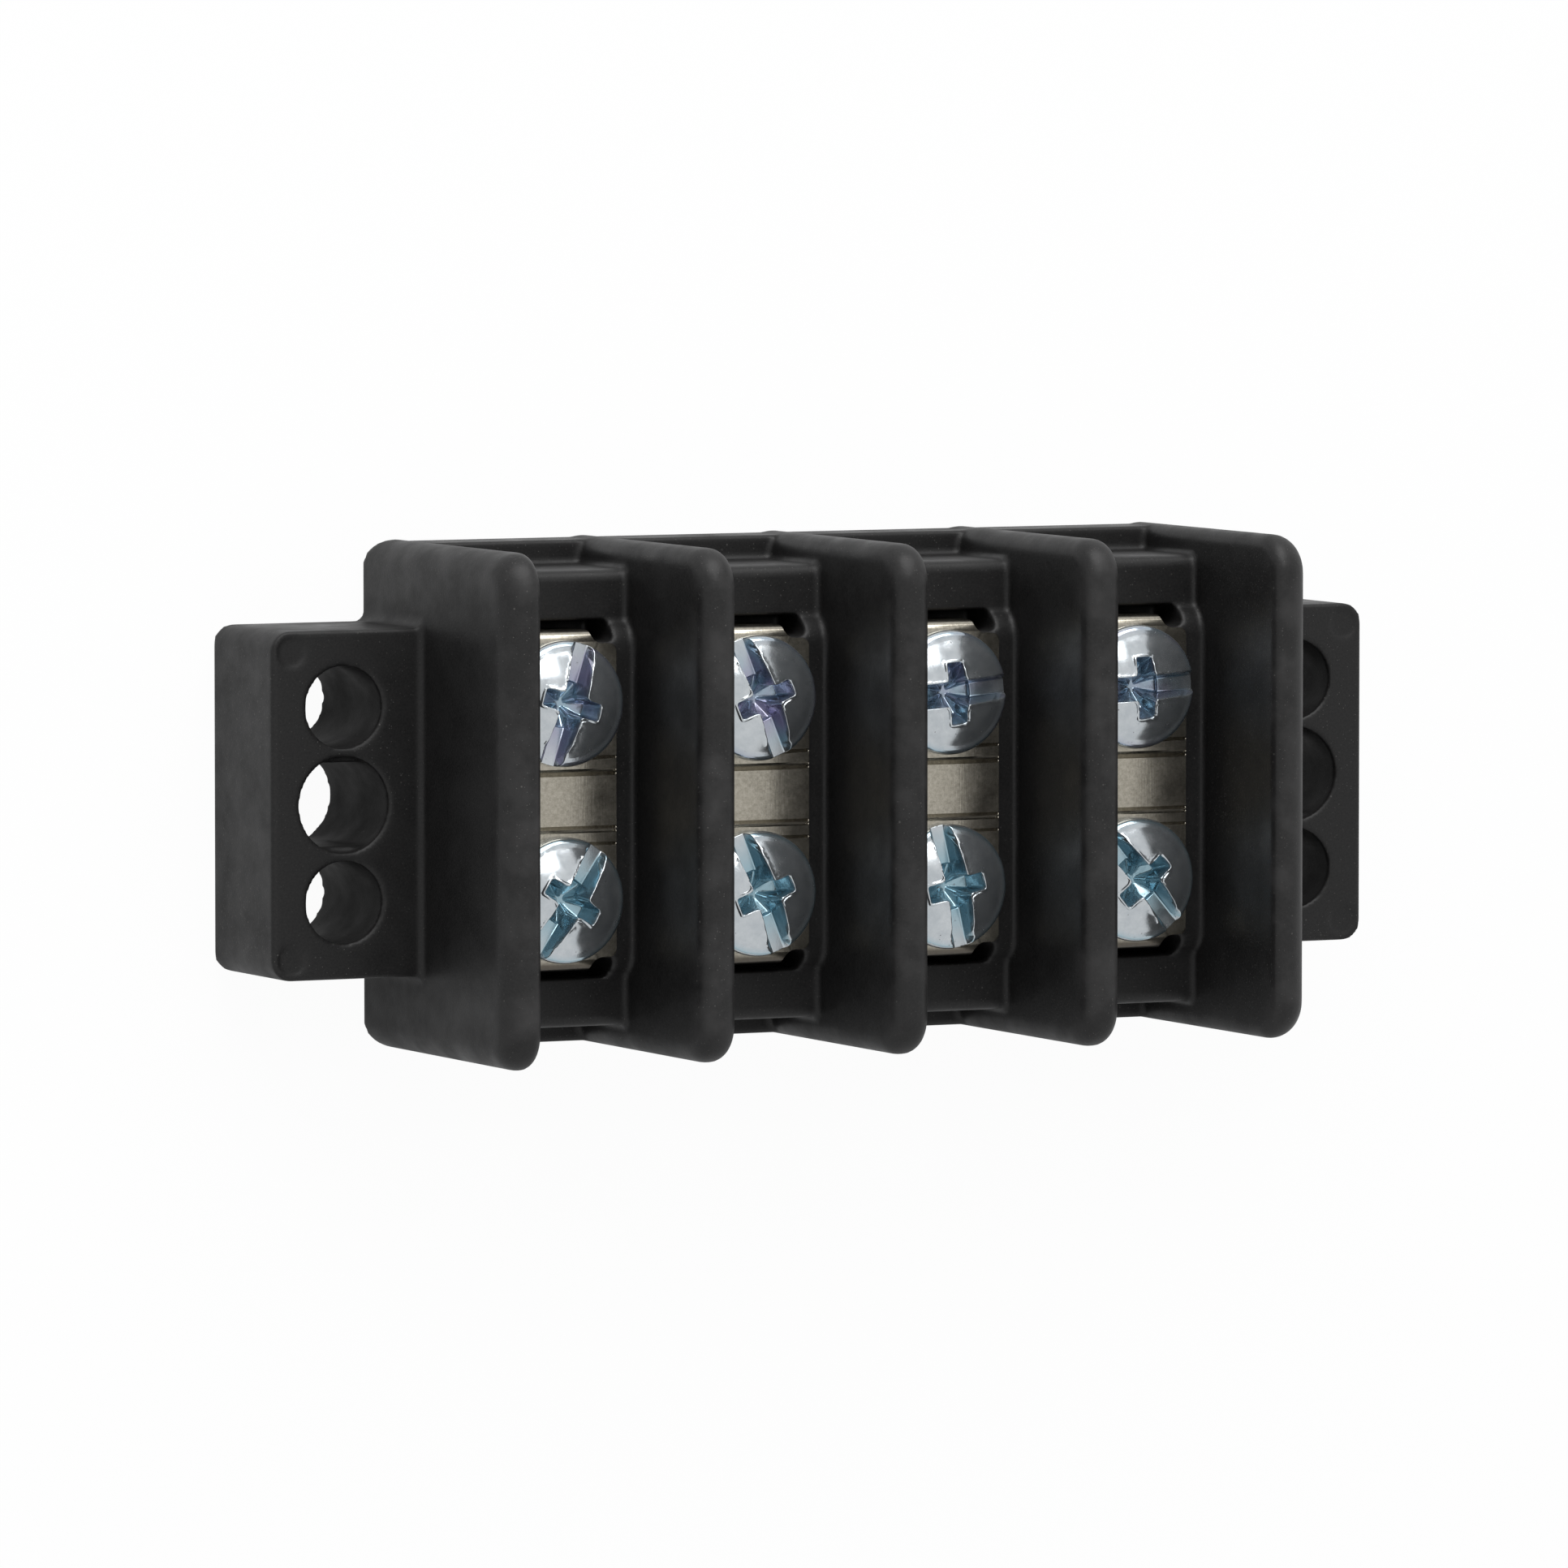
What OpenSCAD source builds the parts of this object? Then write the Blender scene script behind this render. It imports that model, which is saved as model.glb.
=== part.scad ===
// Barrier terminal strip: four poles, two rows of binding screws.
// The strip lies on its mounting base. X runs along the strip, Y runs across
// it from row B to row A, and Z points out of the mounting base.

/* [Poles] */
// Distance from one pole to the next
pole_pitch = 17.46; // [15:0.01:22]

/* [Barriers] */
// Thickness of each barrier
barrier_t = 3.3; // [2.4:0.1:4.5]
// Length of each barrier across the strip
barrier_w = 41.8; // [40:0.1:50]
// Height of the barrier tops above the mounting base
barrier_h = 28.4; // [22:0.1:36]
// Radius of the barrier's two upper corners, seen along the strip
barrier_corner_r = 3.2; // [2.8:0.1:6]
// Radius of the barrier's two corners at the mounting base
barrier_foot_r = 1.8; // [0.5:0.1:3]
// Edge rounding on the faces that look into a wire bay
inner_edge_r = 1.5; // [0.5:0.05:1.6]
// Edge rounding on the outer faces of the two end barriers
outer_edge_r = 2.2; // [0.5:0.05:2.6]

/* [Moulded core] */
// Thickness of the base flange
flange_t = 4.8; // [3:0.1:8]
// Width of the base flange across the strip
flange_w = 41.4; // [39:0.1:50]
// Width of the core that stands up from the flange
core_w = 37.4; // [34:0.1:40]
// Height of the core's rim beyond the plates
rim_h = 14; // [11:0.1:16]
// Rounding of the core's long upper edges
core_edge_r = 0.9; // [0.3:0.1:1.5]
// Height of the shelf that carries the plates
shelf_h = 15.45; // [12:0.05:18]
// Half the length of the flat part of the shelf
shelf_half = 12.2; // [11:0.1:13]
// Distance over which the ends of the shelf curve down to the rim
shelf_fall = 2.25; // [1.5:0.05:3]

/* [End blocks] */
// Length of each end block along the strip
end_l = 13.4; // [10:0.1:18]
// Width of each end block across the strip
end_w = 28.4; // [24:0.1:34]
// Height of each end block above the mounting base
end_h = 12.1; // [8:0.1:16]
// Radius of the end block's outer corners
end_corner_r = 1.7; // [0.5:0.1:3]
// Radius of the fillets between the end block's sides and the end barrier
end_fillet_r = 0.8; // [0.2:0.1:1.5]
// Diameter of the two round holes for the fixing bolts
bolt_hole_d = 6.74; // [4:0.01:7.2]
// Distance between the two round holes of one end block
bolt_hole_spacing = 15.88; // [15:0.01:20]
// Distance from the end face to the line of holes
hole_inset = 6.38; // [5:0.01:9]
// Diameter of the middle hole
middle_hole_d = 7.9; // [6:0.1:8.2]
// Distance between the two flats of the middle hole
middle_flats = 6.8; // [5:0.1:7]
// Depth of the round mouth above the two flats
middle_mouth = 0.8; // [0.3:0.1:2]
// Diameter of the marks that the ejector pins left
ejector_d = 2.7; // [1.5:0.1:3.2]
// Depth of the ejector marks
ejector_deep = 0.15; // [0.05:0.05:0.4]

/* [Terminal plates] */
// Width of each plate
plate_w = 10; // [8:0.1:12]
// Thickness of the plate's sheet brass
plate_t = 0.8; // [0.6:0.05:1.2]
// Length of the plate over its two bent legs
plate_l = 27.8; // [27:0.1:29]
// Length of the plate between the shoulders beside its legs
plate_shoulder_l = 25.6; // [24:0.1:26]
// Width of each bent leg
leg_w = 5.4; // [4:0.1:8]
// Outer radius of the bend into the leg
bend_r = 0.95; // [0.9:0.05:1.5]
// Length of the leg below the top of the plate
leg_drop = 5.2; // [3:0.1:7]
// Outside diameter of the drawn collars that carry the thread
collar_d = 6.2; // [5.6:0.1:7]
// Length of the drawn collars below the plate
collar_drop = 1.6; // [1:0.1:2.5]
// Width of the fine grooves pressed across the plate
groove_w = 0.34; // [0.2:0.02:0.6]
// Height of the ridge that stands beside each inner groove
ridge_h = 0.12; // [0.05:0.01:0.2]
// Distance from the middle of the plate to the inner grooves
groove_inner = 2.2; // [1.5:0.1:3]
// Distance from the inner groove to the outer one
groove_step = 1.33; // [1:0.01:2]

/* [Terminal screws] */
// Distance of each screw row from the middle of the strip
screw_row = 8.02; // [7.5:0.01:8.5]
// Diameter of the binding head
head_d = 10.3; // [8:0.1:11]
// Height of the binding head
head_h = 2.75; // [2.2:0.05:3.5]
// Height of the straight rim of the head
head_rim = 0.9; // [0.4:0.05:1]
// Radius of the shoulder between the rim and the dome
head_shoulder_r = 0.75; // [0.3:0.05:1]
// Depth of the clearance groove under the head
head_relief = 0.3; // [0.1:0.05:0.4]
// Width of the flat ring outside that groove, which bears on the wire
head_ring = 0.9; // [0.6:0.1:1.5]
// Outside diameter of the screw thread
thread_d = 4.83; // [4:0.01:5]
// Length of the screw below its head
screw_l = 9.5; // [8:0.1:11]
// Height of the chamfer at the screw's end
screw_tip = 0.6; // [0.3:0.1:1]
// Width of the screwdriver slot at its floor
slot_w = 1.15; // [0.8:0.05:1.4]
// Depth of the screwdriver slot below the top of the dome
slot_deep = 2; // [1.2:0.05:2.1]
// Lean of the slot's two walls
slot_draft = 18; // [0:1:30]
// Span of the cross recess at the top of the dome
cross_d = 5.4; // [4:0.1:6]
// Depth of the cross recess below the top of the dome
cross_deep = 3.1; // [2.4:0.1:3.4]
// Width of the cross recess's wings at the top of the dome
cross_w = 1.4; // [1:0.05:1.6]
// Lean of the wings' end walls
cross_lean = 25; // [15:1:27]
// Lean of the wings' flanks and of the facets between them
cross_draft = 6; // [2:1:8]
// Turn of the slot in row A, pole by pole
slot_turn_a = [72.6, 112, 5.5, 3.5];
// Turn of the slot in row B, pole by pole
slot_turn_b = [56.5, 111.7, 102.6, 130.4];

/* [Hidden] */
$fn = 16;
edge_fn = 16;
pole_count = 4;
// gaps between the plates, the screws and the moulding
leg_gap = 0.2;
leg_room = 0.7;
leg_well = 0.8;
collar_gap = 0.3;
collar_floor_gap = 0.4;
thread_gap = 0.05;
thread_well_gap = 0.4;
screw_end_gap = 1.2;
slot_edge_gap = 1.9;
shoulder_r = 0.6;
shelf_root = 1;
eps = 0.01;
strip_core_l = pole_count * pole_pitch;
end_face_x = strip_core_l / 2 + barrier_t / 2;
end_x = end_face_x + end_l;
hole_x = end_x - hole_inset;
bay_w = pole_pitch - barrier_t;
end_inner_edge_r = min(inner_edge_r, barrier_t - outer_edge_r - 0.1);
leg_slot_half = bay_w / 2 - slot_edge_gap;
leg_slot_from = plate_l / 2 - plate_t - leg_gap;
leg_slot_to = plate_l / 2 + leg_room;
leg_slot_floor = shelf_h + plate_t - leg_drop - leg_well;
plate_top = shelf_h + plate_t;

function bay_x(pole) = (pole - (pole_count + 1) / 2) * pole_pitch;

// Stands a profile drawn in Y and Z up along the strip, from x on.
module along_x(x, l) {
    translate([x, 0, 0])
    rotate([90, 0, 90])
    linear_extrude(height = l)
    children();
}

// A rectangle standing on the base line, with its two upper corners rounded.
module round_shouldered(w, h, r) {
    translate([-w / 2, 0])
    square([w, h - r]);
    translate([r - w / 2, 0])
    square([w - 2 * r, h]);
    for (side = [-1, 1])
    translate([side * (w / 2 - r), h - r])
    circle(r = r, $fn = edge_fn);
}

// The section of a barrier from its middle out to its rounded edge, which is at y = reach.
module edge_section(reach, r_left, r_right) {
    translate([r_left - barrier_t / 2, 0])
    square([barrier_t - r_left - r_right, reach]);
    rounded_flank(reach, r_left);
    mirror([1, 0])
    rounded_flank(reach, r_right);
}

// The left flank of that section, ending in a quarter circle.
module rounded_flank(reach, r) {
    translate([-barrier_t / 2, 0])
    square([r + eps, reach - r]);
    intersection() {
        translate([r - barrier_t / 2, reach - r])
        circle(r = r, $fn = edge_fn);
        translate([-barrier_t / 2, reach - r - eps])
        square([r + eps, r + 1]);
    }
}

// One barrier, with its own edge rounding on the left face and on the right one.
module barrier(r_left, r_right) {
    corner_y = barrier_w / 2 - barrier_corner_r;
    corner_z = barrier_h - barrier_corner_r;
    intersection() {
        union() {
            // middle, up to the top edge
            translate([0, corner_y, 0])
            rotate([90, 0, 0])
            linear_extrude(height = 2 * corner_y)
            edge_section(barrier_h, r_left, r_right);
            for (side = [0, 1])
            mirror([0, side, 0]) {
                // flank, out to the edge down the side
                translate([0, corner_y, 0])
                linear_extrude(height = corner_z)
                edge_section(barrier_corner_r, r_left, r_right);
                // quarter disc between the two edges
                translate([0, corner_y, corner_z])
                rotate([90, 0, 90])
                rotate_extrude(angle = 90, $fn = 2 * edge_fn)
                intersection() {
                    mirror([1, -1, 0])
                    edge_section(barrier_corner_r, r_left, r_right);
                    translate([0, -barrier_t])
                    square([barrier_corner_r + 1, 2 * barrier_t]);
                }
            }
        }
        along_x(-barrier_t, 2 * barrier_t)
        translate([0, barrier_h + 2])
        mirror([0, 1])
        round_shouldered(barrier_w + 2 * eps, barrier_h + 2, barrier_foot_r);
    }
}

// The raised shelf under the plates, with ends that curve down to the rim.
module shelf_section() {
    rise = shelf_h - rim_h;
    r = (shelf_fall * shelf_fall + rise * rise) / (2 * rise);
    translate([-shelf_half, rim_h - shelf_root])
    square([2 * shelf_half, rise + shelf_root]);
    for (side = [-1, 1])
    intersection() {
        translate([side * shelf_half, shelf_h - r])
        circle(r = r, $fn = 28);
        translate([-shelf_half - shelf_fall, rim_h - eps])
        square([2 * (shelf_half + shelf_fall), rise + 2 * eps]);
    }
}

// The section of a fillet in the corner between two walls along X and Y.
module root_fillet(r) {
    difference() {
        square(r + eps);
        translate([r + eps, r + eps])
        circle(r = r);
    }
}

// One end block with its two fixing holes and the middle hole; the end face looks along +X.
module end_block() {
    difference() {
        union() {
            translate([end_face_x - barrier_t / 2, -end_w / 2, 0])
            cube([end_l + barrier_t / 2 - end_corner_r, end_w, end_h]);
            translate([end_face_x, end_corner_r - end_w / 2, 0])
            cube([end_l, end_w - 2 * end_corner_r, end_h]);
            for (side = [-1, 1])
            translate([end_x - end_corner_r, side * (end_w / 2 - end_corner_r), 0])
            cylinder(h = end_h, r = end_corner_r);
            for (side = [0, 1])
            mirror([0, side, 0])
            translate([end_face_x - eps, end_w / 2 - eps, 0])
            linear_extrude(height = end_h)
            root_fillet(end_fillet_r);
        }
        for (side = [-1, 1]) {
            translate([hole_x, side * bolt_hole_spacing / 2, -1])
            cylinder(h = end_h + 2, d = bolt_hole_d);
            translate([end_x - end_corner_r, side * (end_w / 2 - end_corner_r), end_h - ejector_deep])
            cylinder(h = ejector_deep + 1, d = ejector_d);
        }
        translate([hole_x, 0, end_h - middle_mouth])
        cylinder(h = middle_mouth + 1, d = middle_hole_d);
        intersection() {
            translate([hole_x, 0, -1])
            cylinder(h = end_h + 2, d = middle_hole_d);
            translate([hole_x - middle_hole_d, -middle_flats / 2, -1])
            cube([2 * middle_hole_d, middle_flats, end_h + 2]);
        }
    }
}

// The hole under one screw: a seat for the plate's tapped collar, and a clear bore below.
module screw_well() {
    translate([0, 0, shelf_h - collar_drop - collar_floor_gap])
    cylinder(h = collar_drop + collar_floor_gap + 1, d = collar_d + 2 * collar_gap);
    translate([0, 0, plate_top - screw_l - screw_end_gap])
    cylinder(h = screw_l, d = thread_d + 2 * thread_well_gap);
}

// The slot that takes one bent leg of a plate, on the +Y side.
module leg_slot() {
    translate([-leg_slot_half, leg_slot_from, leg_slot_floor])
    cube([2 * leg_slot_half, leg_slot_to - leg_slot_from, shelf_h]);
}

module moulded_body() {
    color([0.13, 0.13, 0.135]) {
        difference() {
            union() {
                along_x(-strip_core_l / 2, strip_core_l)
                translate([-flange_w / 2, 0])
                square([flange_w, flange_t]);
                along_x(-strip_core_l / 2, strip_core_l)
                round_shouldered(core_w, rim_h, core_edge_r);
                along_x(-strip_core_l / 2, strip_core_l)
                shelf_section();
                for (i = [0 : pole_count])
                translate([(i - pole_count / 2) * pole_pitch, 0, 0])
                barrier(
                    i == 0 ? outer_edge_r : i == pole_count ? end_inner_edge_r : inner_edge_r,
                    i == pole_count ? outer_edge_r : i == 0 ? end_inner_edge_r : inner_edge_r
                );
                end_block();
                mirror([1, 0, 0])
                end_block();
            }
            for (pole = [1 : pole_count])
            for (side = [0, 1])
            translate([bay_x(pole), 0, 0])
            mirror([0, side, 0]) {
                leg_slot();
                translate([0, screw_row, 0])
                screw_well();
            }
        }
    }
}

// The plate seen from above, with small fillets where the legs leave its shoulders.
module plate_outline() {
    fillet_r = (plate_l - plate_shoulder_l) / 2;
    translate([-plate_w / 2, shoulder_r - plate_shoulder_l / 2])
    square([plate_w, plate_shoulder_l - 2 * shoulder_r]);
    translate([shoulder_r - plate_w / 2, -plate_shoulder_l / 2])
    square([plate_w - 2 * shoulder_r, plate_shoulder_l]);
    for (x = [-1, 1])
    for (y = [-1, 1])
    translate([x * (plate_w / 2 - shoulder_r), y * (plate_shoulder_l / 2 - shoulder_r)])
    circle(r = shoulder_r);
    translate([-leg_w / 2, -plate_l / 2 - 1])
    square([leg_w, plate_l + 2]);
    for (x = [0, 1])
    for (y = [0, 1])
    mirror([x, 0])
    mirror([0, y])
    translate([leg_w / 2 - eps, plate_shoulder_l / 2 - eps])
    root_fillet(fillet_r);
}

// The plate seen from the end of the strip: flat, with both ends bent down.
module plate_section() {
    flat_half = plate_l / 2 - bend_r;
    translate([-flat_half - eps, shelf_h])
    square([2 * (flat_half + eps), plate_t]);
    for (side = [0, 1])
    mirror([side, 0]) {
        intersection() {
            difference() {
                translate([flat_half, plate_top - bend_r])
                circle(r = bend_r);
                translate([flat_half, plate_top - bend_r])
                circle(r = bend_r - plate_t);
            }
            translate([flat_half, plate_top - bend_r])
            square(bend_r + 1);
        }
        translate([plate_l / 2 - plate_t, plate_top - leg_drop])
        square([plate_t, leg_drop - bend_r + eps]);
    }
}

module terminal_plate(pole) {
    color([0.66, 0.63, 0.57])
    translate([bay_x(pole), 0, 0])
    difference() {
        union() {
            intersection() {
                along_x(-plate_w / 2 - 1, plate_w + 2)
                plate_section();
                translate([0, 0, plate_top - leg_drop - 1])
                linear_extrude(height = leg_drop + 2)
                plate_outline();
            }
            for (side = [-1, 1]) {
                translate([0, side * screw_row, shelf_h - collar_drop])
                cylinder(h = collar_drop + eps, d = collar_d);
                // ridge on the screw's side of the inner groove
                translate([-plate_w / 2, side * (groove_inner + groove_w / 2 + ridge_h), plate_top])
                rotate([45, 0, 0])
                translate([0, -ridge_h / sqrt(2), -ridge_h / sqrt(2)])
                cube([plate_w, ridge_h * sqrt(2), ridge_h * sqrt(2)]);
            }
        }
        for (side = [-1, 1])
        translate([0, side * screw_row, shelf_h - collar_drop - 1])
        cylinder(h = collar_drop + plate_t + 2, d = thread_d + 2 * thread_gap);
        for (y = [groove_inner, groove_inner + groove_step])
        for (side = [-1, 1])
        translate([0, side * y, plate_top])
        rotate([45, 0, 0])
        cube([plate_w + 2, groove_w / sqrt(2), groove_w / sqrt(2)], center = true);
    }
}

// Half of the binding head's section: straight rim, rounded shoulder and dome.
module head_section() {
    dome_edge = head_d / 2 - head_shoulder_r;
    dome_foot = head_rim + head_shoulder_r;
    dome_h = head_h - dome_foot;
    dome_r = (dome_edge * dome_edge + dome_h * dome_h) / (2 * dome_h);
    square([head_d / 2, head_rim]);
    square([dome_edge, dome_foot]);
    intersection() {
        translate([dome_edge, head_rim])
        circle(r = head_shoulder_r);
        translate([dome_edge - eps, 0])
        square([head_d, head_h]);
    }
    intersection() {
        translate([0, head_h - dome_r])
        circle(r = dome_r, $fn = 60);
        translate([0, dome_foot - eps])
        square([dome_edge, head_h]);
    }
}

// The screwdriver slot along X: flat floor and two leaning walls.
module driver_slot() {
    open_w = slot_w / 2 + slot_deep * tan(slot_draft);
    translate([-head_d, 0, head_h])
    rotate([90, 0, 90])
    linear_extrude(height = 2 * head_d)
    polygon([
        [-slot_w / 2, -slot_deep],
        [slot_w / 2, -slot_deep],
        [open_w, eps],
        [-open_w, eps]
    ]);
}

// Two opposite wings of the cross recess, along X: leaning ends and nearly upright flanks.
module cross_wings() {
    foot = cross_d / 2 - cross_deep * tan(cross_lean);
    flank_foot = cross_w / 2 - cross_deep * tan(cross_draft);
    translate([0, 0, head_h])
    intersection() {
        rotate([90, 0, 0])
        translate([0, 0, -cross_w])
        linear_extrude(height = 2 * cross_w)
        polygon([[-foot, -cross_deep], [foot, -cross_deep], [cross_d / 2, eps], [-cross_d / 2, eps]]);
        rotate([90, 0, 90])
        translate([0, 0, -cross_d])
        linear_extrude(height = 2 * cross_d)
        polygon([
            [-flank_foot, -cross_deep],
            [flank_foot, -cross_deep],
            [cross_w / 2, eps],
            [-cross_w / 2, eps]
        ]);
    }
}

// One binding screw, turned so that its slot points along the given angle.
module terminal_screw(pole, side, turn) {
    color([0.74, 0.76, 0.79])
    translate([bay_x(pole), side * screw_row, plate_top])
    rotate([0, 0, turn])
    difference() {
        union() {
            rotate_extrude()
            head_section();
            translate([0, 0, screw_tip - screw_l])
            cylinder(h = screw_l, d = thread_d);
            translate([0, 0, -screw_l])
            cylinder(h = screw_tip + eps, d1 = thread_d - 2 * screw_tip, d2 = thread_d);
        }
        // clearance groove under the head
        difference() {
            translate([0, 0, -eps])
            cylinder(h = head_relief + eps, d = head_d - 2 * head_ring);
            translate([0, 0, -1])
            cylinder(h = 2, d = thread_d + 2 * thread_well_gap);
        }
        driver_slot();
        for (quarter = [0, 90])
        rotate([0, 0, quarter])
        cross_wings();
    }
}

module terminal_plate_1() {
    terminal_plate(1);
}
module terminal_plate_2() {
    terminal_plate(2);
}
module terminal_plate_3() {
    terminal_plate(3);
}
module terminal_plate_4() {
    terminal_plate(4);
}
module terminal_screw_a1() {
    terminal_screw(1, 1, slot_turn_a[0]);
}
module terminal_screw_a2() {
    terminal_screw(2, 1, slot_turn_a[1]);
}
module terminal_screw_a3() {
    terminal_screw(3, 1, slot_turn_a[2]);
}
module terminal_screw_a4() {
    terminal_screw(4, 1, slot_turn_a[3]);
}
module terminal_screw_b1() {
    terminal_screw(1, -1, slot_turn_b[0]);
}
module terminal_screw_b2() {
    terminal_screw(2, -1, slot_turn_b[1]);
}
module terminal_screw_b3() {
    terminal_screw(3, -1, slot_turn_b[2]);
}
module terminal_screw_b4() {
    terminal_screw(4, -1, slot_turn_b[3]);
}

moulded_body();
terminal_plate_1();
terminal_plate_2();
terminal_plate_3();
terminal_plate_4();
terminal_screw_a1();
terminal_screw_a2();
terminal_screw_a3();
terminal_screw_a4();
terminal_screw_b1();
terminal_screw_b2();
terminal_screw_b3();
terminal_screw_b4();
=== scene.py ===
"""Barrier terminal strip: black moulding, nickelled terminal plates and binding-head screws.

The strip lies on its mounting base. X runs along it, Y across it from row B to row A,
and Z out of the base. Every length is in metres.
"""

import math
import random

import bmesh
import bpy
import mathutils
from mathutils import Matrix, Vector


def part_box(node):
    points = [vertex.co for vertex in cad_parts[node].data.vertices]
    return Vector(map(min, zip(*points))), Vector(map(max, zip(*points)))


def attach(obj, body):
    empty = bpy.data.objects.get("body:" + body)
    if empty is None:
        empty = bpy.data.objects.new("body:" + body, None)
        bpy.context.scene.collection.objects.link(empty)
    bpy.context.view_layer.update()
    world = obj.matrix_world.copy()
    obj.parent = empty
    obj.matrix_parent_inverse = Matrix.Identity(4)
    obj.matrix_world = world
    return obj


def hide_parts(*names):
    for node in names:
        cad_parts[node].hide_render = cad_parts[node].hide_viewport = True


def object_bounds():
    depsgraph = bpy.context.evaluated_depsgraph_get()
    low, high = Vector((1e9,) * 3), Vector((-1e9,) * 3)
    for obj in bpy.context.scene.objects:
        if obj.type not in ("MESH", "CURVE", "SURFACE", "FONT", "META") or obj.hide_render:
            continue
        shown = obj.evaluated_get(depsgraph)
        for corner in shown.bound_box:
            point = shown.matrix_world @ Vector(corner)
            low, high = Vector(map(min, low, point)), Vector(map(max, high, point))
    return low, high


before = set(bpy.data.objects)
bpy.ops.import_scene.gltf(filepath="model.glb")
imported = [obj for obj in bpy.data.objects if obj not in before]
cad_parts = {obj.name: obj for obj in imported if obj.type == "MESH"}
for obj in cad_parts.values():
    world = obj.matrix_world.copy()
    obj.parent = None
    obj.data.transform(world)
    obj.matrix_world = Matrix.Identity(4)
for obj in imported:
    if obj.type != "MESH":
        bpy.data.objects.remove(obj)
cad_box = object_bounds()
mm = 0.001

# ---------------------------------------------------------------------------
# Studio
# A sheet of white paper under the strip, a white room, a soft lamp above row A
# and one at the front left, and a long lens that looks across the bays.
# ---------------------------------------------------------------------------

scene = bpy.context.scene
scene.view_settings.view_transform = "Standard"


def new_material(name):
    """An empty node material: the material, its nodes, its links and its output."""
    material = bpy.data.materials.new(name)
    material.use_nodes = True
    tree = material.node_tree
    tree.nodes.clear()
    output = tree.nodes.new("ShaderNodeOutputMaterial")
    return material, tree.nodes, tree.links, output


def seen_as_white(nodes, links, share, share_in_metal):
    """How white a surface shows: one share to the camera and through glass, one in metal."""
    path = nodes.new("ShaderNodeLightPath")
    seen = None
    rays = (
        ("Is Camera Ray", share), ("Is Transmission Ray", share), ("Is Glossy Ray", share_in_metal)
    )
    for ray, amount in rays:
        scaled = nodes.new("ShaderNodeMath")
        scaled.operation = "MULTIPLY"
        links.new(path.outputs[ray], scaled.inputs[0])
        scaled.inputs[1].default_value = amount
        if seen:
            either = nodes.new("ShaderNodeMath")
            either.operation = "MAXIMUM"
            links.new(seen, either.inputs[0])
            links.new(scaled.outputs[0], either.inputs[1])
            seen = either.outputs[0]
        else:
            seen = scaled.outputs[0]
    return seen


paper, nodes, links, output = new_material("white_paper")
paper_face = nodes.new("ShaderNodeBsdfDiffuse")
paper_face.inputs["Color"].default_value = (0.9, 0.9, 0.9, 1)
paper_white = nodes.new("ShaderNodeEmission")
paper_white.inputs["Strength"].default_value = 1.0
choice = nodes.new("ShaderNodeMixShader")
links.new(seen_as_white(nodes, links, 0.96, 0.3), choice.inputs[0])
links.new(paper_face.outputs[0], choice.inputs[1])
links.new(paper_white.outputs[0], choice.inputs[2])
links.new(choice.outputs[0], output.inputs["Surface"])

paper_mesh = bpy.data.meshes.new("paper_sheet")
bm = bmesh.new()
bmesh.ops.create_grid(bm, x_segments=1, y_segments=1, size=1.5)
bmesh.ops.translate(bm, verts=bm.verts, vec=(0, 0, cad_box[0].z - 0.1 * mm))
bm.to_mesh(paper_mesh)
bm.free()
paper_mesh.materials.append(paper)
paper_sheet = bpy.data.objects.new("paper_sheet", paper_mesh)
scene.collection.objects.link(paper_sheet)

room = bpy.data.worlds.new("white_room")
scene.world = room
room.use_nodes = True
nodes, links = room.node_tree.nodes, room.node_tree.links
nodes.clear()
output = nodes.new("ShaderNodeOutputWorld")
walls = nodes.new("ShaderNodeBackground")
walls.inputs["Color"].default_value = (0.97, 0.985, 1.0, 1)
walls.inputs["Strength"].default_value = 0.5
backdrop = nodes.new("ShaderNodeBackground")
backdrop.inputs["Color"].default_value = (1, 1, 1, 1)
backdrop.inputs["Strength"].default_value = 1.0
choice = nodes.new("ShaderNodeMixShader")
links.new(seen_as_white(nodes, links, 1.0, 1.0), choice.inputs[0])
links.new(walls.outputs[0], choice.inputs[1])
links.new(backdrop.outputs[0], choice.inputs[2])
links.new(choice.outputs[0], output.inputs["Surface"])


def soft_lamp(name, place, width, height, watts):
    """A rectangular softbox that faces the strip."""
    data = bpy.data.lights.new(name, "AREA")
    data.shape = "RECTANGLE"
    data.size = width
    data.size_y = height
    data.energy = watts
    lamp = bpy.data.objects.new(name, data)
    lamp.location = place
    lamp.rotation_mode = "QUATERNION"
    lamp.rotation_quaternion = (-Vector(place)).to_track_quat("-Z", "Y")
    scene.collection.objects.link(lamp)


soft_lamp("lamp_over_row_a", (-0.05, 0.6, 0.3), 0.7, 0.4, 4.0)
soft_lamp("lamp_in_front", (-0.03, 0.43, 0.62), 0.26, 0.22, 0.9)

long_lens = bpy.data.cameras.new("long_lens")
long_lens.sensor_width = 36.0
long_lens.lens = 297.84
long_lens.clip_start = 0.05
long_lens.clip_end = 20.0
camera = bpy.data.objects.new("camera", long_lens)
yaw, pitch, roll = math.radians(25.9), math.radians(3.925), math.radians(0.007)
aim = Vector((-3.954 * mm, 0.526 * mm, 12 * mm))
backward = Vector(
    (-math.sin(yaw) * math.cos(pitch), math.sin(pitch), math.cos(yaw) * math.cos(pitch))
)
rightward = Vector((math.cos(yaw), 0, math.sin(yaw)))
upward = backward.cross(rightward)
turned = Matrix((rightward, upward, backward)).transposed() @ Matrix.Rotation(roll, 3, "Z")
camera.matrix_world = Matrix.LocRotScale(aim + 1.0686 * backward, turned, (1, 1, 1))
scene.collection.objects.link(camera)
scene.camera = camera

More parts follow.
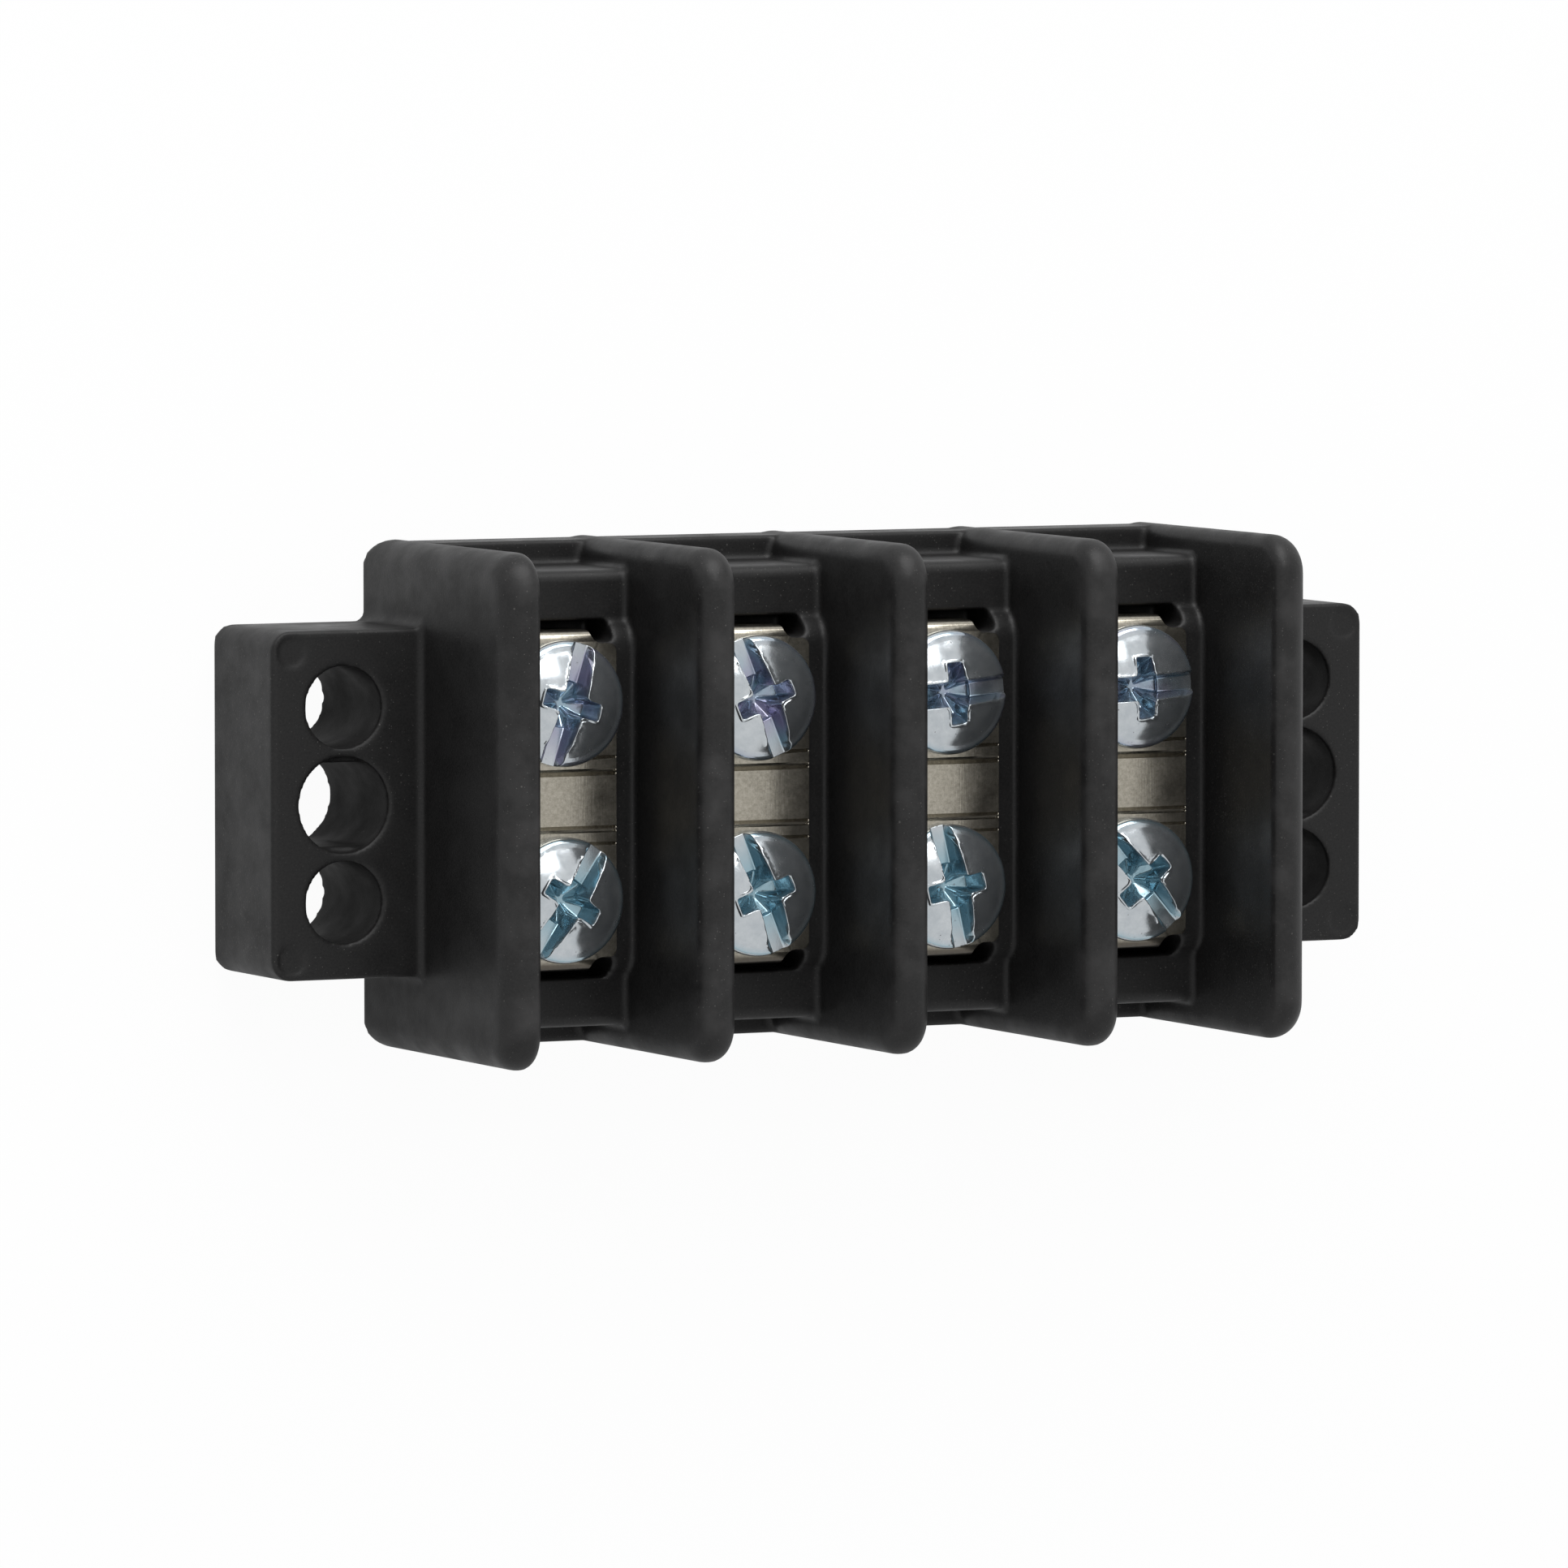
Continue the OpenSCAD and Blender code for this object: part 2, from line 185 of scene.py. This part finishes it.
# ---------------------------------------------------------------------------
# Moulding
# One black phenolic moulding: flange, core, shelf, five barriers and two end
# blocks. The mould leaves its edges a little soft, its faces finely grained and
# the marks of its parting and ejector pins. Handling leaves dust, and painted
# light lightens the barriers' front faces grey in patches.

moulding_grain = 0.25 * mm  # edges come out rounded by about this much
moulding_most_triangles = 195_000


def shape_only(name, bm):
    """An object at the origin made from a bmesh, which is freed."""
    mesh = bpy.data.meshes.new(name)
    bm.to_mesh(mesh)
    bm.free()
    shape = bpy.data.objects.new(name, mesh)
    scene.collection.objects.link(shape)
    return shape


def apply_modifiers(shape):
    """Turns the shape with its modifiers into a plain mesh."""
    depsgraph = bpy.context.evaluated_depsgraph_get()
    mesh = bpy.data.meshes.new_from_object(shape.evaluated_get(depsgraph))
    shape.modifiers.clear()
    shape.data = mesh


def merged_copy(node_name):
    """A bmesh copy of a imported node, with its split vertices merged."""
    bm = bmesh.new()
    bm.from_mesh(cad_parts[node_name].data)
    bmesh.ops.remove_doubles(bm, verts=bm.verts, dist=0.001 * mm)
    return bm


def softened(name, bm, grain, passes, most_triangles, reshape=None):
    """One skin over everything in the bmesh: edges rounded by about the grain."""
    shape = shape_only(name, bm)
    skin = shape.modifiers.new("skin", "REMESH")
    skin.mode = "VOXEL"
    skin.voxel_size = grain
    skin.use_smooth_shade = True
    soften = shape.modifiers.new("soften", "SMOOTH")
    soften.factor = 0.5
    soften.iterations = passes
    apply_modifiers(shape)
    if reshape:
        for vertex in shape.data.vertices:
            vertex.co = reshape(vertex.co)
    thin_out = shape.modifiers.new("thin_out", "DECIMATE")
    thin_out.ratio = min(1, most_triangles / (2 * len(shape.data.polygons)))
    flat_faces = shape.modifiers.new("flat_faces", "WEIGHTED_NORMAL")
    flat_faces.weight = 90
    apply_modifiers(shape)
    return shape


moulding_copy = merged_copy("moulded_body")
moulding = softened("moulding", moulding_copy, moulding_grain, 2, moulding_most_triangles)


def dressed_as(node_name, shape, body, material):
    """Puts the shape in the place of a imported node."""
    shape.data.materials.clear()
    shape.data.materials.append(material)
    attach(shape, body)
    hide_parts(node_name)


def noise(nodes, links, place, scale, detail=2.0, roughness=0.5):
    """Smooth noise, with its scale in cells a metre."""
    cloud = nodes.new("ShaderNodeTexNoise")
    cloud.inputs["Scale"].default_value = scale
    cloud.inputs["Detail"].default_value = detail
    cloud.inputs["Roughness"].default_value = roughness
    links.new(place, cloud.inputs["Vector"])
    return cloud.outputs["Fac"]


def ramp(nodes, links, value, low, high, from_low=0.0, from_high=1.0):
    """The value, moved from one range to another and held inside it."""
    stretch = nodes.new("ShaderNodeMapRange")
    stretch.inputs["From Min"].default_value = from_low
    stretch.inputs["From Max"].default_value = from_high
    stretch.inputs["To Min"].default_value = low
    stretch.inputs["To Max"].default_value = high
    links.new(value, stretch.inputs["Value"])
    return stretch.outputs["Result"]


def arithmetic(nodes, links, operation, a, b):
    """One Math node; a and b are sockets or plain numbers."""
    node = nodes.new("ShaderNodeMath")
    node.operation = operation
    for socket, value in zip(node.inputs, (a, b)):
        if isinstance(value, (int, float)):
            socket.default_value = value
        else:
            links.new(value, socket)
    return node.outputs[0]


def mix_colours(nodes, links, mask, a, b):
    """Colour a where the mask is 0 and b where it is 1; each a socket or an RGBA value."""
    node = nodes.new("ShaderNodeMix")
    node.data_type = "RGBA"
    links.new(mask, node.inputs[0])
    for socket, value in ((node.inputs[6], a), (node.inputs[7], b)):
        if isinstance(value, tuple):
            socket.default_value = value
        else:
            links.new(value, socket)
    return node.outputs[2]


def specks_group():
    """A node group: a mask of separate round specks, for dust, pits and pinholes."""
    group = bpy.data.node_groups.new("specks", "ShaderNodeTree")
    face = group.interface
    face.new_socket("Place", in_out="INPUT", socket_type="NodeSocketVector")
    face.new_socket("Cells per metre", in_out="INPUT", socket_type="NodeSocketFloat")
    face.new_socket("Share", in_out="INPUT", socket_type="NodeSocketFloat")
    face.new_socket("Radius", in_out="INPUT", socket_type="NodeSocketFloat")
    face.new_socket("Mask", in_out="OUTPUT", socket_type="NodeSocketFloat")
    nodes, links = group.nodes, group.links
    given = nodes.new("NodeGroupInput")
    result = nodes.new("NodeGroupOutput")
    cells = nodes.new("ShaderNodeTexVoronoi")
    links.new(given.outputs["Place"], cells.inputs["Vector"])
    links.new(given.outputs["Cells per metre"], cells.inputs["Scale"])
    inside = arithmetic(nodes, links, "SUBTRACT", given.outputs["Radius"], cells.outputs["Distance"])
    soft_dot = arithmetic(nodes, links, "MULTIPLY", inside, 12.0)
    dot = ramp(nodes, links, soft_dot, 0.0, 1.0)
    lottery = nodes.new("ShaderNodeSeparateColor")
    links.new(cells.outputs["Color"], lottery.inputs[0])
    drawn = arithmetic(nodes, links, "LESS_THAN", lottery.outputs[0], given.outputs["Share"])
    shade = ramp(nodes, links, lottery.outputs[1], 0.35, 1.0)
    visible = arithmetic(nodes, links, "MULTIPLY", dot, drawn)
    links.new(arithmetic(nodes, links, "MULTIPLY", visible, shade), result.inputs["Mask"])
    return group


specks = specks_group()


def add_specks(nodes, links, place, cells, share, radius):
    """Places the specks group and returns its mask."""
    node = nodes.new("ShaderNodeGroup")
    node.node_tree = specks
    links.new(place, node.inputs["Place"])
    node.inputs["Cells per metre"].default_value = cells
    node.inputs["Share"].default_value = share
    node.inputs["Radius"].default_value = radius
    return node.outputs["Mask"]


def height_mask(nodes, links, place, axis, low, high):
    """0 below one height along an axis, 1 above another."""
    split = nodes.new("ShaderNodeSeparateXYZ")
    links.new(place, split.inputs[0])
    return ramp(nodes, links, split.outputs[axis], 0, 1, low, high)


phenolic, nodes, links, output = new_material("phenolic")
place = nodes.new("ShaderNodeTexCoord").outputs["Object"]
clouds = noise(nodes, links, place, 260, 3.0, 0.6)
patches = noise(nodes, links, place, 90, 2.0, 0.5)
grain = noise(nodes, links, place, 5200, 2.0, 0.6)
black = mix_colours(
    nodes, links, ramp(nodes, links, grain, 0, 1, 0.3, 0.75),
    (0.006, 0.006, 0.0062, 1), (0.0135, 0.013, 0.0128, 1),
)
# painted light: the barriers' front faces are lightened a little grey, in patches
barrier_fronts = height_mask(nodes, links, place, 2, 25.5 * mm, 28.3 * mm)
painted_light_patches = ramp(nodes, links, clouds, 0.15, 1.0, 0.42, 0.72)
painted_front_light = arithmetic(nodes, links, "MULTIPLY", barrier_fronts, painted_light_patches)
black = mix_colours(nodes, links, painted_front_light, black, (0.034, 0.033, 0.033, 1))
dustier = ramp(nodes, links, patches, 0.3, 1.0, 0.4, 0.62)
fine_dust = add_specks(nodes, links, place, 5200, 0.13, 0.26)
medium_dust = add_specks(nodes, links, place, 2100, 0.05, 0.2)
coarse_dust = add_specks(nodes, links, place, 800, 0.025, 0.11)
dust = arithmetic(nodes, links, "MAXIMUM", fine_dust, medium_dust)
dust = arithmetic(nodes, links, "MULTIPLY", dust, dustier)
dust = arithmetic(nodes, links, "MAXIMUM", dust, coarse_dust)
dusty = mix_colours(
    nodes, links, arithmetic(nodes, links, "MULTIPLY", dust, 0.42), black, (0.2, 0.195, 0.185, 1)
)
shader = nodes.new("ShaderNodeBsdfPrincipled")
links.new(dusty, shader.inputs["Base Color"])
dull = ramp(nodes, links, clouds, 0.36, 0.56, 0.3, 0.7)
links.new(arithmetic(nodes, links, "MAXIMUM", dull, dust), shader.inputs["Roughness"])
shader.inputs["Specular IOR Level"].default_value = 0.24
bump = nodes.new("ShaderNodeBump")
bump.inputs["Strength"].default_value = 0.5
bump.inputs["Distance"].default_value = 0.02 * mm
links.new(arithmetic(nodes, links, "ADD", grain, dust), bump.inputs["Height"])
links.new(bump.outputs["Normal"], shader.inputs["Normal"])
links.new(shader.outputs[0], output.inputs["Surface"])
dressed_as("moulded_body", moulding, "strip", phenolic)

# ---------------------------------------------------------------------------
# Terminal plates
# Four plates of nickelled sheet brass, one a pole. Each is blanked with a leg at
# both ends, bent down into the moulding's slots, and creased with two pairs of
# pressed lines. Two drawn collars under it carry the screw threads.
# ---------------------------------------------------------------------------

blanked_edge = 0.07 * mm
crease_ends = (2.2, 2.49, 3.53)  # creases and ridges, from the plate's middle in mm


def moved_copy(name, shape, matrix):
    """The same mesh, moved inside a new object whose origin stays at zero."""
    mesh = shape.data.copy()
    mesh.transform(matrix)
    copy = bpy.data.objects.new(name, mesh)
    scene.collection.objects.link(copy)
    return copy


def joined(parts):
    """One bmesh that holds several; each part is freed."""
    whole = bmesh.new()
    for part in parts:
        mesh = bpy.data.meshes.new("part")
        part.to_mesh(mesh)
        part.free()
        whole.from_mesh(mesh)
        bpy.data.meshes.remove(mesh)
    return whole


first_plate = shape_only("plate", merged_copy("terminal_plate_1"))
worn_edges = first_plate.modifiers.new("worn_edges", "BEVEL")
worn_edges.width = blanked_edge
worn_edges.segments = 3
worn_edges.limit_method = "ANGLE"
worn_edges.angle_limit = math.radians(35)
apply_modifiers(first_plate)

first_plate_low, first_plate_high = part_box("terminal_plate_1")
burr_rng = random.Random(4)
burr_beads = bmesh.new()
for side_x in (first_plate_low.x, first_plate_high.x):
    for across in crease_ends:
        for side_y in (-1, 1):
            inward = 0.1 if side_x < first_plate_low.x + 1 * mm else -0.1
            place = Vector((side_x + inward * mm, side_y * across * mm, first_plate_high.z - 0.02 * mm))
            bead = bmesh.ops.create_icosphere(
                burr_beads, subdivisions=2, radius=burr_rng.uniform(0.07, 0.1) * mm,
                matrix=Matrix.Translation(place),
            )
plate_mesh = bmesh.new()
plate_mesh.from_mesh(first_plate.data)
whole_plate = shape_only("whole_plate", joined([plate_mesh, burr_beads]))
bpy.data.objects.remove(first_plate)
for polygon in whole_plate.data.polygons:
    polygon.use_smooth = True
flat_faces = whole_plate.modifiers.new("flat_faces", "WEIGHTED_NORMAL")
flat_faces.weight = 90
apply_modifiers(whole_plate)

nickel, nodes, links, output = new_material("nickel")
place = nodes.new("ShaderNodeTexCoord").outputs["Object"]
smudges = noise(nodes, links, place, 420, 4.0, 0.65)
mottle = noise(nodes, links, place, 3600, 3.0, 0.7)
rolled = nodes.new("ShaderNodeMapping")
rolled.inputs["Scale"].default_value = (1.0, 0.06, 1.0)
links.new(place, rolled.inputs["Vector"])
streaks = noise(nodes, links, rolled.outputs["Vector"], 7000, 2.0, 0.6)
plating = mix_colours(
    nodes, links, ramp(nodes, links, mottle, 0, 1, 0.3, 0.7), (0.27, 0.25, 0.205, 1), (0.4, 0.375, 0.32, 1)
)
# painted shade: the lower bends, which face down, are darkened brown
below = height_mask(nodes, links, place, 1, -13.4 * mm, -12.9 * mm)
painted_shade_on_lower_bends = ramp(nodes, links, below, 0.85, 0.0)
plating = mix_colours(nodes, links, painted_shade_on_lower_bends, plating, (0.05, 0.042, 0.034, 1))
shader = nodes.new("ShaderNodeBsdfPrincipled")
links.new(plating, shader.inputs["Base Color"])
shader.inputs["Metallic"].default_value = 1.0
links.new(ramp(nodes, links, smudges, 0.15, 0.27, 0.3, 0.7), shader.inputs["Roughness"])
bump = nodes.new("ShaderNodeBump")
bump.inputs["Strength"].default_value = 0.25
bump.inputs["Distance"].default_value = 0.01 * mm
links.new(streaks, bump.inputs["Height"])
links.new(bump.outputs["Normal"], shader.inputs["Normal"])
links.new(shader.outputs[0], output.inputs["Surface"])

for pole in (1, 2, 3, 4):
    low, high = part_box(f"terminal_plate_{pole}")
    to_its_pole = Matrix.Translation((low.x - first_plate_low.x, 0, 0))
    plate = moved_copy(f"nickel_plate_{pole}", whole_plate, to_its_pole)
    dressed_as(f"terminal_plate_{pole}", plate, "strip", nickel)
bpy.data.objects.remove(whole_plate)

# ---------------------------------------------------------------------------
# Terminal screws
# Eight No. 10 binding-head screws of zinc-plated steel. The blank is headed and
# its threads are rolled. A sawn slot and a punched cross recess take either
# driver, and the punch leaves small burrs round the ends of the cross.
# ---------------------------------------------------------------------------

screw_grain = 0.05 * mm
screw_most_triangles = 50_000
head_r, head_h, head_rim, shoulder_r = 5.15, 2.75, 0.9, 0.75
dome_edge = head_r - shoulder_r
dome_rise = head_h - head_rim - shoulder_r
dome_r = (dome_edge**2 + dome_rise**2) / (2 * dome_rise)
core_r, crest_r, pitch, shank, tip = 1.95, 2.405, 0.794, 9.48, 0.6
slot_floor_half, slot_top_half, slot_deep = 0.6, 1.04, 2.0
cross_deep = 3.1


def arc(centre_r, centre_z, radius, start, end, steps):
    """Points of an arc in the half plane of radius and height; angles in degrees."""
    turns = (math.radians(start + (end - start) * i / steps) for i in range(steps + 1))
    return [(centre_r + radius * math.cos(t), centre_z + radius * math.sin(t)) for t in turns]


def lathe(profile, steps):
    """A solid turned about Z from (radius, height) points in millimetres."""
    bm = bmesh.new()
    points = [bm.verts.new((r * mm, 0, z * mm)) for r, z in profile]
    edges = [bm.edges.new(pair) for pair in zip(points, points[1:])]
    bmesh.ops.spin(
        bm, geom=points + edges, cent=(0, 0, 0), axis=(0, 0, 1),
        angle=math.tau, steps=steps, use_merge=True,
    )
    bmesh.ops.remove_doubles(bm, verts=bm.verts, dist=0.0001 * mm)
    bmesh.ops.recalc_face_normals(bm, faces=bm.faces)
    return bm


def loft(loops):
    """A solid through stacked loops of (x, y, z) points in millimetres."""
    bm = bmesh.new()
    rings = []
    for loop in loops:
        verts = [bm.verts.new((x * mm, y * mm, z * mm)) for x, y, z in loop]
        rings.append([bm.edges.new(pair) for pair in zip(verts, verts[1:] + verts[:1])])
        bm.faces.new(verts) if loop in (loops[0], loops[-1]) else None
    for lower, upper in zip(rings, rings[1:]):
        bmesh.ops.bridge_loops(bm, edges=lower + upper)
    bmesh.ops.recalc_face_normals(bm, faces=bm.faces)
    return bm


def plus_outline(arm, half, end_r, root_r, z):
    """A cross with rounded ends and roots, as one loop at a height."""
    quarter = arc(arm - end_r, half - end_r, end_r, 0, 90, 3)
    quarter += arc(half + root_r, half + root_r, root_r, 270, 180, 6)
    quarter += arc(half - end_r, arm - end_r, end_r, 0, 90, 3)
    loop = []
    for turn in range(4):
        cos, sin = ((1, 0), (0, 1), (-1, 0), (0, -1))[turn]
        loop += [(x * cos - y * sin, x * sin + y * cos, z) for x, y in quarter]
    return loop


def cross_cutter(spare=0.0):
    """The punched cross; spare widens it for the burrs round it."""
    loops = [plus_outline(0.5, 0.16, 0.06, 0.12, head_h - cross_deep)]
    for depth, arm, half, root_r in (
        (2.3, 1.85, 0.58, 0.5), (0.3, 2.6, 0.74, 0.68), (-0.5, 2.9, 0.82, 0.75)
    ):
        loops.append(plus_outline(arm + spare, half + spare, 0.22, root_r, head_h - depth))
    return loft(loops)


def dome_height(reach):
    """Height of the dome over the seat, in millimetres, at a distance from the axis."""
    reach = min(reach, dome_edge)
    return head_h - dome_r + math.sqrt(dome_r**2 - reach**2)


def slot_cutter(spare=0.0):
    """The slot: a flat floor, and edges that stay parallel as the dome falls away."""
    loops = []
    floor_z, over_z = head_h - slot_deep, head_h + 0.6
    for x in (-6.0, -4.4, -3.2, -1.8, 0.0, 1.8, 3.2, 4.4, 6.0):
        foot = slot_floor_half + spare
        lean = (slot_top_half - slot_floor_half) / (dome_height(abs(x)) - floor_z)
        top = foot + lean * (over_z - floor_z)
        loops.append([(x, -foot, floor_z), (x, foot, floor_z), (x, top, over_z), (x, -top, over_z)])
    return loft(loops)


def cut_by(shape, cutters):
    """Cuts the shape by each cutter bmesh in turn."""
    for cutter_bm in cutters:
        cutter = shape_only("cutter", cutter_bm)
        cut = shape.modifiers.new("cut", "BOOLEAN")
        cut.operation = "DIFFERENCE"
        cut.solver = "EXACT"
        cut.object = cutter
        apply_modifiers(shape)
        bpy.data.objects.remove(cutter)
    return shape


def head_profile(lift):
    """The head's outline over its seat, with its dome lifted a little for burrs."""
    top = arc(0, head_h - dome_r + lift, dome_r, 90, 90 - math.degrees(math.asin(dome_edge / dome_r)), 24)
    shoulder = arc(dome_edge, head_rim + lift, shoulder_r, 62, 0, 8)
    return top + shoulder


under_head = [
    (head_r, 0.08), (head_r - 0.08, 0), (4.25, 0), (4.15, 0.3), (2.9, 0.3), (2.8, 0),
    (core_r, 0), (core_r, tip - shank), (core_r - 0.45, -shank), (0, -shank),
]
blank = shape_only("blank", lathe(head_profile(0) + under_head, 128))
cut_by(blank, [slot_cutter(), cross_cutter()])

burr_cap = [(r, z) for r, z in head_profile(0.11) if r < 4.0]
burr_cap += [(4.0, 1.2), (0, 1.2)]
burrs = shape_only("burrs", lathe(burr_cap, 96))
burrs.data.materials.clear()
near_cross, near_slot = (shape_only("near", cutter) for cutter in (cross_cutter(0.17), slot_cutter(0.1)))
slot_burrs = moved_copy("slot_burrs", burrs, Matrix.Translation((0, 0, -0.05 * mm)))
for lips, reach in ((burrs, near_cross), (slot_burrs, near_slot)):
    keep = lips.modifiers.new("keep", "BOOLEAN")
    keep.operation = "INTERSECT"
    keep.solver = "EXACT"
    keep.object = reach
    apply_modifiers(lips)
    bpy.data.objects.remove(reach)
    cut_by(lips, [slot_cutter(), cross_cutter()])

thread = bmesh.new()
ridge = [
    (core_r - 0.1, -0.36), (core_r + 0.02, -0.33), (crest_r, -0.06),
    (crest_r, 0.06), (core_r + 0.02, 0.33), (core_r - 0.1, 0.36),
]
ridge_verts = [thread.verts.new((r * mm, 0, (z - shank + 0.36) * mm)) for r, z in ridge]
ridge_face = thread.faces.new(ridge_verts)
thread_turns = 11.4
bmesh.ops.spin(
    thread, geom=[ridge_face], cent=(0, 0, 0), axis=(0, 0, 1), dvec=(0, 0, pitch / 36 * mm),
    angle=math.tau * thread_turns, steps=int(36 * thread_turns), use_merge=False,
)
for vertex in thread.verts:
    limit = min(crest_r, core_r - 0.25 + (vertex.co.z / mm + shank) / tip * 0.7) * mm
    reach = vertex.co.xy.length
    if reach > limit:
        vertex.co.x *= limit / reach
        vertex.co.y *= limit / reach
bmesh.ops.recalc_face_normals(thread, faces=thread.faces)

parts = [thread]
for shape in (blank, burrs, slot_burrs):
    part = bmesh.new()
    part.from_mesh(shape.data)
    parts.append(part)
    bpy.data.objects.remove(shape)


def ragged(point):
    """Makes the burrs that stand above the dome uneven."""
    reach = point.xy.length / mm
    if reach < dome_edge and point.z > 1.4 * mm:
        over = point.z / mm - dome_height(reach)
        if over > 0.02:
            point.z -= over * mm * max(0.0, 0.5 + 1.6 * mathutils.noise.noise(point * 900))
    return point


first_screw = softened("screw", joined(parts), screw_grain, 2, screw_most_triangles, ragged)
# recess mask: the zinc material tints the film with it and darkens it there as painted shade
recess = first_screw.data.attributes.new("recess", "FLOAT", "POINT")
for vertex, value in zip(first_screw.data.vertices, recess.data):
    reach = vertex.co.xy.length / mm
    below = dome_height(reach) - vertex.co.z / mm
    inside = reach < 5.0 and 0.06 < below < 3.2
    value.value = min(1.0, below / 0.3) if inside else 0.0


zinc, nodes, links, output = new_material("zinc")
place = nodes.new("ShaderNodeTexCoord").outputs["Object"]
haze = noise(nodes, links, place, 900, 4.0, 0.65)
wash = noise(nodes, links, place, 240, 2.0, 0.5)
fine = noise(nodes, links, place, 9000, 2.0, 0.6)
in_recess = nodes.new("ShaderNodeAttribute")
in_recess.attribute_name = "recess"
# the passivated film is bluish, and in the recess it shows teal or plum; the recess colours are also
# darker, as painted shade
film = mix_colours(
    nodes, links, ramp(nodes, links, haze, 0, 1, 0.35, 0.7), (0.44, 0.475, 0.5, 1), (0.53, 0.56, 0.58, 1)
)
row_a = height_mask(nodes, links, place, 1, -2 * mm, 2 * mm)
plum_share = arithmetic(nodes, links, "MULTIPLY", row_a, ramp(nodes, links, wash, 0.2, 1.0, 0.4, 0.6))
recess_film_and_shade = mix_colours(nodes, links, plum_share, (0.29, 0.42, 0.48, 1), (0.33, 0.33, 0.43, 1))
film = mix_colours(nodes, links, in_recess.outputs["Fac"], film, recess_film_and_shade)
pits = add_specks(nodes, links, place, 3200, 0.05, 0.22)
pitted = mix_colours(nodes, links, pits, film, (0.16, 0.16, 0.165, 1))
shader = nodes.new("ShaderNodeBsdfPrincipled")
links.new(pitted, shader.inputs["Base Color"])
shader.inputs["Metallic"].default_value = 0.88
dull = ramp(nodes, links, haze, 0.11, 0.22, 0.3, 0.7)
links.new(arithmetic(nodes, links, "ADD", dull, arithmetic(nodes, links, "MULTIPLY", pits, 0.3)),
          shader.inputs["Roughness"])
bump = nodes.new("ShaderNodeBump")
bump.inputs["Strength"].default_value = 0.3
bump.inputs["Distance"].default_value = 0.008 * mm
links.new(arithmetic(nodes, links, "SUBTRACT", fine, pits), bump.inputs["Height"])
links.new(bump.outputs["Normal"], shader.inputs["Normal"])
links.new(shader.outputs[0], output.inputs["Surface"])

slot_turns = {"a": (72.6, 112, 5.5, 3.5), "b": (56.5, 111.7, 102.6, 130.4)}
for row, turns in slot_turns.items():
    for pole, turn in zip((1, 2, 3, 4), turns):
        name = f"terminal_screw_{row}{pole}"
        low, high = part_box(name)
        seat = Vector(((low.x + high.x) / 2, (low.y + high.y) / 2, high.z - head_h * mm))
        place_it = Matrix.Translation(seat) @ Matrix.Rotation(math.radians(turn), 4, "Z")
        screw = moved_copy(f"zinc_screw_{row}{pole}", first_screw, place_it)
        dressed_as(name, screw, f"screw_{row}{pole}", zinc)
bpy.data.objects.remove(first_screw)
